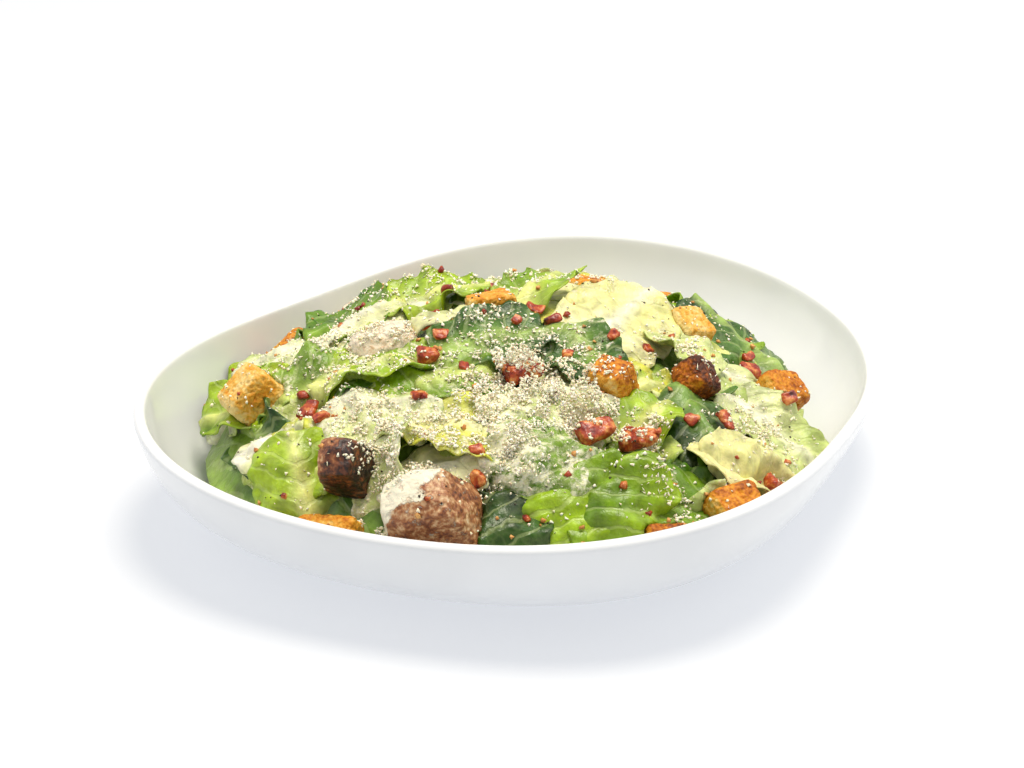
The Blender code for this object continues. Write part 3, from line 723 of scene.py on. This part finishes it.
def underToppings(point, down):
    # a leaf passes below what lies on it, and sags under bacon so that the bit stays in sight
    for tree, middle, reach, sags in toppingTrees:
        height = (middle - point).dot(down)
        aside = (point - middle + down * height).length
        if sags and -reach < height < 9 * mm:
            point = point + down * (height + 0.7 * reach) * (1 - ease(0.8 * reach, reach + 5 * mm, aside))
        if (point - middle).length > reach + 1 * mm:
            continue
        nearest, normal, _, _ = tree.find_nearest(point)
        if (point - nearest).dot(normal) > 0.3 * mm:
            continue
        hit, _, _, _ = tree.ray_cast(point, down)
        below = hit if hit is not None else nearest
        point = below + down * 0.4 * mm
    return point


def leafPiece(row, seed):
    name, x, y, lift, yaw, pitch, roll, length, width = row[:9]
    data = romaineLeaves
    point, normal = seat(x, y)
    place = seatMatrix(point, normal, yaw, pitch, roll, lift)
    across, along = max(6, round(width / data["cell"])), max(6, round(length / data["cell"]))
    colours = [hexColour(c) for c in data["colours"][row[12]]]
    points, tints, wets, spots = [], [], [], []
    for i in range(along + 1):
        for j in range(across + 1):
            u, v = 2 * i / along - 1, 2 * j / across - 1
            local, away = leafPoint(u, v, seed, row)
            world = underToppings(place @ (local * mm), -normal)
            points.append(clearOfBowl(world, data["clear"] * mm))
            tints.append(leafTint(local, away, u, seed, width, colours))
            pool = 0.16 * noise.noise(Vector((local.x / 11, local.y / 11, seed * 6.1)))
            wets.append(row[13] + pool)
            spots.append((local.x / 100, away / 100))
    faces = []
    for i in range(along):
        for j in range(across):
            a = i * (across + 1) + j
            faces.append((a, a + across + 1, a + across + 2, a + 1))
    mesh = bpy.data.meshes.new(name)
    mesh.from_pydata(points, [], faces)
    paint(mesh, "tint", tints)
    paint(mesh, "dressing", wets)
    leafMap = mesh.uv_layers.new(name="leafMap")
    for loop in mesh.loops:
        leafMap.data[loop.index].uv = spots[loop.vertex_index]
    source = bpy.data.objects.new(name + "Sheet", mesh)
    bpy.context.scene.collection.objects.link(source)
    wall = source.modifiers.new("thickness", "SOLIDIFY")
    wall.thickness = data["thickness"] * mm
    wall.offset = 0
    result = evaluatedMesh(source)
    bpy.data.objects.remove(source, do_unlink=True)
    piece = meshPiece("romaine_" + name, result, romaine)
    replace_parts(piece, "salad")
    return piece


leafRows = [*romaineLeaves["shown"], *hiddenLeaves(), *romaineLeaves["laidOver"]]
leafPieces = [leafPiece(row, seed) for seed, row in enumerate(leafRows)]
print("romaine made:", len(leafPieces))


# Small cut pieces fill the gaps between the big leaves, low down, so that the core doesn't show.
filler = {
    "count": 120, "meshes": 3, "seed": 5, "length": (16, 30), "width": (12, 22), "lift": (-0.5, 3.0),
    "colours": ("green", "bright", "pale", "dark", "yellow", "pale", "bright")}


def fillerRows():
    draw = random.Random(filler["seed"])
    rows = []
    for i in range(filler["count"]):
        angle = draw.uniform(0, 2 * math.pi)
        reach = heap["radius"] * 0.97 * math.sqrt(draw.random())
        colour = draw.choice(filler["colours"])
        x, y = heap["centre"][0] + reach * math.cos(angle), heap["centre"][1] + reach * math.sin(angle)
        rows.append((
            f"small_{i}", x, y, draw.uniform(*filler["lift"]), draw.uniform(0, 360), draw.uniform(-14, 14),
            draw.uniform(-14, 14), draw.uniform(*filler["length"]), draw.uniform(*filler["width"]),
            draw.uniform(-2, 2), -1.5, draw.uniform(1, 3), colour, draw.uniform(0.2, 0.45),
            draw.choice((2, 2, 0.0, 0.4))))
    return rows


def joined(name, pieces, material):
    # one mesh from several, with their attributes
    bm = bmesh.new()
    for piece in pieces:
        bm.from_mesh(piece.data)
    mesh = toMesh(bm, name)
    for piece in pieces:
        bpy.data.objects.remove(piece, do_unlink=True)
    return meshPiece(name, mesh, material)


smallPieces = [leafPiece(row, 100 + i) for i, row in enumerate(fillerRows())]
smallLeaves = []
share = filler["count"] // filler["meshes"]
for part in range(filler["meshes"]):
    some = smallPieces[part * share:(part + 1) * share]
    smallLeaves.append(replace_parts(joined(f"romaineSmall_{part}", some, romaine), "salad"))
print("small romaine made")


# The core shows only as shade between leaves: packed wet leaf.
for vert in coreMesh.vertices:
    if vert.co.z > heap["puckersAbove"] * mm:
        vert.co += vert.normal * mm * (1.2 * noise.noise(vert.co / (9 * mm)) - 1.2)
deepShade, paleShade = hexColour("3A6A1C"), hexColour("9FBF4A")
paint(coreMesh, "tint", [
    mixed(deepShade, paleShade, 0.5 + 0.9 * noise.noise(v.co / (14 * mm))) for v in coreMesh.vertices])
paint(coreMesh, "dressing", [0.30 + 0.2 * noise.noise(v.co / (20 * mm)) for v in coreMesh.vertices])
coreMap = coreMesh.uv_layers.new(name="leafMap")
for loop in coreMesh.loops:
    spot = coreMesh.vertices[loop.vertex_index].co
    coreMap.data[loop.index].uv = (spot.x * 10, spot.y * 10)
core = meshPiece("romaineCore", coreMesh, romaine)
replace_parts(core, "salad")


# Sprinkled things fall on whatever lies on top. Each heap is (x, y, spread, strength), in mm. Base is the
# amount between heaps, sigma the share of its spread over which a heap thins out, clump the size of clumps
# in mm, upFacing the least that a face looks up, and sky the clear height that it needs in mm.
sprinkled = {
    "heaps": (
        (13, -60, 20, 1.0), (0, -50, 18, 0.8), (28, -56, 16, 0.8), (-34, -98, 11, 1.4), (-24, -86, 14, 0.6),
        (53, -64, 8, 1.1), (49, -80, 9, 0.9), (4, -88, 12, 0.9), (-42, -58, 20, 0.35), (-43, -18, 18, 0.4),
        (96, -42, 18, 0.4), (68, -8, 14, 0.5), (-36, -76, 16, 0.5), (8, -42, 8, 1.1), (-4, -24, 20, 0.25),
        (27, -30, 12, 0.2), (-70, 0, 20, 0.3), (-60, -20, 20, 0.25), (60, -90, 12, 0.25), (-10, -72, 12, 0.4),
        (0, 60, 26, 0.45), (50, 60, 24, 0.4), (-40, 50, 24, 0.4), (20, 90, 18, 0.4)),
    "base": 0.02, "sigma": 0.6, "gain": 1.5, "clump": 4.5, "upFacing": 0.12, "sky": 60,
}


def hostMesh():
    # the upper faces of everything edible, as one mesh to sprinkle on
    bm = bmesh.new()
    for piece in leafPieces + smallLeaves + toppingPieces:
        bm.from_mesh(piece.data)
    bm.normal_update()
    low = [f for f in bm.faces if f.normal.z < sprinkled["upFacing"]]
    bmesh.ops.delete(bm, geom=low, context="FACES")
    return toMesh(bm, "sprinkleHost")


host = hostMesh()
hostTree = meshTree(host)
up = Vector((0, 0, 1))
openSky = [float(hostTree.ray_cast(v.co + up * 1.2 * mm, up, sprinkled["sky"] * mm)[0] is None)
           for v in host.vertices]


def cheeseAmount(point):
    # clumps of cheese, thick in the heaps
    spot = point / mm
    heaped = sum(
        s * math.exp(-((spot.x - x) ** 2 + (spot.y - y) ** 2) / (2 * (sprinkled["sigma"] * r) ** 2))
        for x, y, r, s in sprinkled["heaps"])
    clump = ease(-0.25, 0.35, noise.noise(point / (sprinkled["clump"] * mm)))
    return max(0.0, (sprinkled["base"] + heaped) * sprinkled["gain"] * clump)


paint(host, "cheese", [clear * cheeseAmount(v.co) for v, clear in zip(host.vertices, openSky)])
paint(host, "specks", [clear * (0.3 + ease(0.0, 0.5, noise.noise(v.co / (13 * mm))))
                       for v, clear in zip(host.vertices, openSky)])
print("sprinkle host made:", len(host.vertices))


def bitMesh(name, size, length, seed, sides=4, tip=0.45):
    # an irregular bit: a few-sided prism or, with no tip, a sliver; as thick as size and length times as long
    draw = random.Random(seed)
    bm = bmesh.new()
    bmesh.ops.create_cone(bm, cap_ends=True, segments=sides, radius1=0.55, radius2=tip, depth=length)
    for vert in bm.verts:
        vert.co = (vert.co + Vector([draw.uniform(-0.22, 0.22) for _ in range(3)])) * size * mm
    return toMesh(bm, name)


def randomFloat(tree, low, high, seed):
    # Random Value takes its floats at 2 and 3 and gives one at 1
    inputs = {2: low, 3: high, "Seed": seed}
    return addNode(tree, "FunctionNodeRandomValue", inputs, data_type="FLOAT").outputs[1]


def sprinkleTree(name, bits, material):
    # host mesh -> points by density -> turned, sized bits -> realised, with a material
    tree = bpy.data.node_groups.new(name, "GeometryNodeTree")
    tree.interface.new_socket("Geometry", in_out="INPUT", socket_type="NodeSocketGeometry")
    for label, kind in (("Amount", "String"), ("Most per square metre", "Float"), ("Seed", "Int"),
                        ("Smallest", "Float"), ("Largest", "Float"), ("Heaped height", "Float")):
        tree.interface.new_socket(label, in_out="INPUT", socket_type="NodeSocket" + kind)
    tree.interface.new_socket("Geometry", in_out="OUTPUT", socket_type="NodeSocketGeometry")
    given = addNode(tree, "NodeGroupInput").outputs
    named = addNode(tree, "GeometryNodeInputNamedAttribute", {"Name": given["Amount"]}, data_type="FLOAT")
    amount = named.outputs[0]
    dense = mathNode(tree, "MULTIPLY", amount, given["Most per square metre"])
    points = addNode(tree, "GeometryNodeDistributePointsOnFaces", {
        "Mesh": given["Geometry"], "Density": dense, "Seed": given["Seed"]})
    height = mathNode(tree, "MULTIPLY", amount, randomFloat(tree, 0.0, given["Heaped height"], 3))
    rise = addNode(tree, "ShaderNodeVectorMath", {
        0: points.outputs["Normal"], "Scale": height}, operation="SCALE")
    lifted = addNode(tree, "GeometryNodeSetPosition", {
        "Geometry": points.outputs["Points"], "Offset": rise.outputs[0]})
    picked = addNode(tree, "GeometryNodeCollectionInfo", {
        "Collection": bits, "Separate Children": True, "Reset Children": True})
    turn = addNode(tree, "FunctionNodeRandomValue", {
        0: (0.0, 0.0, 0.0), 1: (6.28, 6.28, 6.28), "Seed": 1}, data_type="FLOAT_VECTOR")
    placed = addNode(tree, "GeometryNodeInstanceOnPoints", {
        "Points": lifted.outputs["Geometry"], "Instance": picked.outputs[0], "Pick Instance": True,
        "Rotation": turn.outputs[0], "Scale": randomFloat(tree, given["Smallest"], given["Largest"], 2)})
    real = addNode(tree, "GeometryNodeRealizeInstances", {"Geometry": placed.outputs["Instances"]})
    solid = addNode(tree, "GeometryNodeSetMaterial", {
        "Geometry": real.outputs["Geometry"], "Material": material})
    addNode(tree, "NodeGroupOutput", {"Geometry": solid.outputs["Geometry"]})
    return tree


def sprinkle(name, bitMeshes, material, values):
    # one joined mesh of bits on the host, and values are the tree's inputs
    bits = bpy.data.collections.new(name + "Bits")
    bitObjects = [bpy.data.objects.new(m.name, m) for m in bitMeshes]
    for bit in bitObjects:
        bits.objects.link(bit)
    source = bpy.data.objects.new(name + "Host", host.copy())
    bpy.context.scene.collection.objects.link(source)
    scatter = source.modifiers.new("sprinkle", "NODES")
    scatter.node_group = sprinkleTree(name + "Tree", bits, material)
    sockets = {s.name: s.identifier for s in scatter.node_group.interface.items_tree if s.in_out == "INPUT"}
    for label, value in values.items():
        scatter[sockets[label]] = value
    mesh = evaluatedMesh(source)
    bpy.data.objects.remove(source, do_unlink=True)
    for bit in bitObjects:
        bpy.data.objects.remove(bit, do_unlink=True)
    bpy.data.collections.remove(bits)
    unused = ("cheese", "specks", "tint", "dressing", "sear")
    for attribute in [a.name for a in mesh.attributes if a.name in unused]:
        mesh.attributes.remove(mesh.attributes[attribute])
    print(name, len(mesh.polygons), "faces")
    piece = meshPiece(name, mesh, material)
    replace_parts(piece, "salad")
    return piece


# thickness in mm, then length and far end as shares of it; the last two are slivers
cheeseShapes = ((0.95, 0.8, 0.4), (0.85, 1.1, 0.4), (0.75, 1.4, 0.3), (0.55, 2.6, 0), (0.5, 3.6, 0))
cheeseBits = [bitMesh(f"cheeseBit_{i}", size, length, i, sides=3, tip=tip)
              for i, (size, length, tip) in enumerate(cheeseShapes)]
sprinkle("parmesanShreds", cheeseBits, cheese, {
    "Amount": "cheese", "Most per square metre": 1700000.0, "Seed": 1, "Smallest": 0.5, "Largest": 1.5,
    "Heaped height": 2.4 * mm})

# Bits of bacon too small for a solid of their own: those that stand out lie where they were seen, and more
# are sprinkled. Each is x, y, length, width and turn, in mm and degrees.
smallBacon = {
    "thick": 2.4, "sunk": 0.3, "seed": 60, "cuts": 5, "corners": 0.75, "bend": 1.3,
    "bits": (
        (-22, -23, 5.5, 4.5, 15), (-26, 16, 7.0, 5.0, 30), (-20, 18, 5.0, 4.5, 80), (-64, -57, 5.5, 4.0, 10),
        (108, -22, 6.0, 4.5, 40), (20, -11, 6.5, 3.5, 5), (42, -24, 4.5, 4.0, 60), (55, -7, 4.0, 4.0, 20),
        (69, -53, 5.0, 4.5, 70), (25, -32, 4.5, 4.0, 0), (13, 12, 7.5, 5.0, -25), (7, 16, 4.5, 4.0, 50),
        (-29, -57, 5.5, 4.0, 35), (-13, -42, 5.0, 4.0, 0), (6, -15, 4.0, 3.5, 65), (-7, -95, 6.0, 5.0, 80),
        (-8, -90, 5.0, 4.5, 15), (-72, -35, 4.5, 3.5, 30), (97, 29, 5.5, 4.0, 45), (-48, 62, 6.0, 4.5, 20),
        (22, 70, 5.5, 4.0, 70), (66, 58, 5.0, 4.5, 10), (-10, 88, 6.0, 4.0, 40)),
}


def placedBacon():
    # chopped blocks with rounded corners, shrunk and bent by frying, each lying flat on what carries it
    bm = bmesh.new()
    for number, (x, y, length, width, yaw) in enumerate(smallBacon["bits"]):
        point, normal, _, _ = hostTree.ray_cast(Vector((x * mm, y * mm, 1)), Vector((0, 0, -1)))
        place = seatMatrix(point, normal, yaw, 0, 0, smallBacon["thick"] / 2 - smallBacon["sunk"])
        seed = Vector((smallBacon["seed"] + number * 2.7, number * 1.3, 0))
        block = bmesh.new()
        bmesh.ops.create_cube(block, size=1.0)
        bmesh.ops.subdivide_edges(block, edges=block.edges[:], cuts=smallBacon["cuts"], use_grid_fill=True)
        for vert in block.verts:
            rounded = vert.co * (1 - smallBacon["corners"] * max(0.0, vert.co.length - 0.5))
            spot = Vector((rounded.x * length, rounded.y * width, rounded.z * smallBacon["thick"]))
            bent = Vector([noise.noise(spot / 4 + seed + Vector((0, 0, 5 * k))) for k in range(3)])
            blister = vert.normal * baconRelief(spot * mm, seed)
            vert.co = place @ ((spot + bent * smallBacon["bend"] + blister) * mm)
        mesh = toMesh(block, "baconBlock")
        bm.from_mesh(mesh)
        bpy.data.meshes.remove(mesh)
    return meshPiece("baconPlaced", toMesh(bm, "baconPlaced"), bacon)


baconLengths = (0.7, 1.0, 1.5, 0.9)
baconBits = [bitMesh(f"baconBit_{i}", 2.6, length, 30 + i, sides=5) for i, length in enumerate(baconLengths)]
baconSprinkled = sprinkle("baconSprinkled", baconBits, bacon, {
    "Amount": "specks", "Most per square metre": 1300.0, "Seed": 4, "Smallest": 0.4, "Largest": 1.1,
    "Heaped height": 0.5 * mm})
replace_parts(joined("baconCrumbs", [baconSprinkled, placedBacon()], bacon), "salad")
breadBits = [bitMesh(f"breadBit_{i}", 1.6, 0.9, 40 + i, sides=5) for i in range(3)]
sprinkle("breadCrumbs", breadBits, crumb, {
    "Amount": "specks", "Most per square metre": 5000.0, "Seed": 5, "Smallest": 0.4, "Largest": 1.2,
    "Heaped height": 0.5 * mm})
pepperBits = [bitMesh(f"pepperBit_{i}", 0.7, 0.9, 50 + i) for i in range(2)]
sprinkle("pepperSpecks", pepperBits, pepper, {
    "Amount": "specks", "Most per square metre": 9000.0, "Seed": 6, "Smallest": 0.5, "Largest": 1.2,
    "Heaped height": 0.2 * mm})
bpy.data.meshes.remove(host)


# Stage: pale floor, soft studio light and the photograph's camera.
stage = {
    "elevation": 24, "distance": 0.9246, "aim": (0.0045, 0.0, 0.0401), "lens": 85,
    "key": {"place": (0.15, 0.10, 1.5), "size": 0.7, "power": 21, "colour": "FFF6E6"},
    "left": {"place": (-1.2, 0.2, 0.9), "size": 1.6, "power": 4.5, "colour": "FFFFFF"},
    "right": {"place": (1.1, 0.2, 1.0), "size": 1.4, "power": 5.5, "colour": "FFFFFF"},
    "sky": "F8F8F8", "skyPower": 0.62, "floorHalf": 4,
}
side = stage["floorHalf"]
floorMesh = bpy.data.meshes.new("floor")
corners = [(-side, -side, 0), (side, -side, 0), (side, side, 0), (-side, side, 0)]
floorMesh.from_pydata(corners, [], [(0, 1, 2, 3)])
paper, _, paperShader = newMaterial("mattWhitePaper")  # seamless studio paper, lit from below
paperShader.inputs["Base Color"].default_value = hexColour("A0A2A4")
paperShader.inputs["Roughness"].default_value = 0.75
paperShader.inputs["Emission Color"].default_value = hexColour("F8FAFF")
paperShader.inputs["Emission Strength"].default_value = 0.53
floorMesh.materials.append(paper)
ground = bpy.data.objects.new("floor", floorMesh)
bpy.context.scene.collection.objects.link(ground)

world = bpy.context.scene.world or bpy.data.worlds.new("studio")
bpy.context.scene.world = world
world.use_nodes = True
world.node_tree.nodes["Background"].inputs["Color"].default_value = hexColour(stage["sky"])
world.node_tree.nodes["Background"].inputs["Strength"].default_value = stage["skyPower"]
for name in ("key", "left", "right"):
    data = stage[name]
    light = bpy.data.lights.new(name, "AREA")
    light.shape = "DISK"
    light.size = data["size"]
    light.energy = data["power"]
    light.color = hexColour(data["colour"])[:3]
    lamp = bpy.data.objects.new(name, light)
    lamp.location = data["place"]
    lamp.rotation_euler = (Vector((0, 0, 0.04)) - lamp.location).to_track_quat("-Z", "Y").to_euler()
    bpy.context.scene.collection.objects.link(lamp)

eye = bpy.data.cameras.new("camera")
eye.lens = stage["lens"]
eye.sensor_width = 36
eye.clip_start = 0.01
camera = bpy.data.objects.new("camera", eye)
tilt = math.radians(stage["elevation"])
camera.location = Vector(stage["aim"]) - Vector((0, math.cos(tilt), -math.sin(tilt))) * stage["distance"]
camera.rotation_euler = (math.pi / 2 - tilt, 0, 0)
bpy.context.scene.collection.objects.link(camera)
bpy.context.scene.camera = camera
bpy.context.scene.view_settings.view_transform = "Standard"
print("stage made")
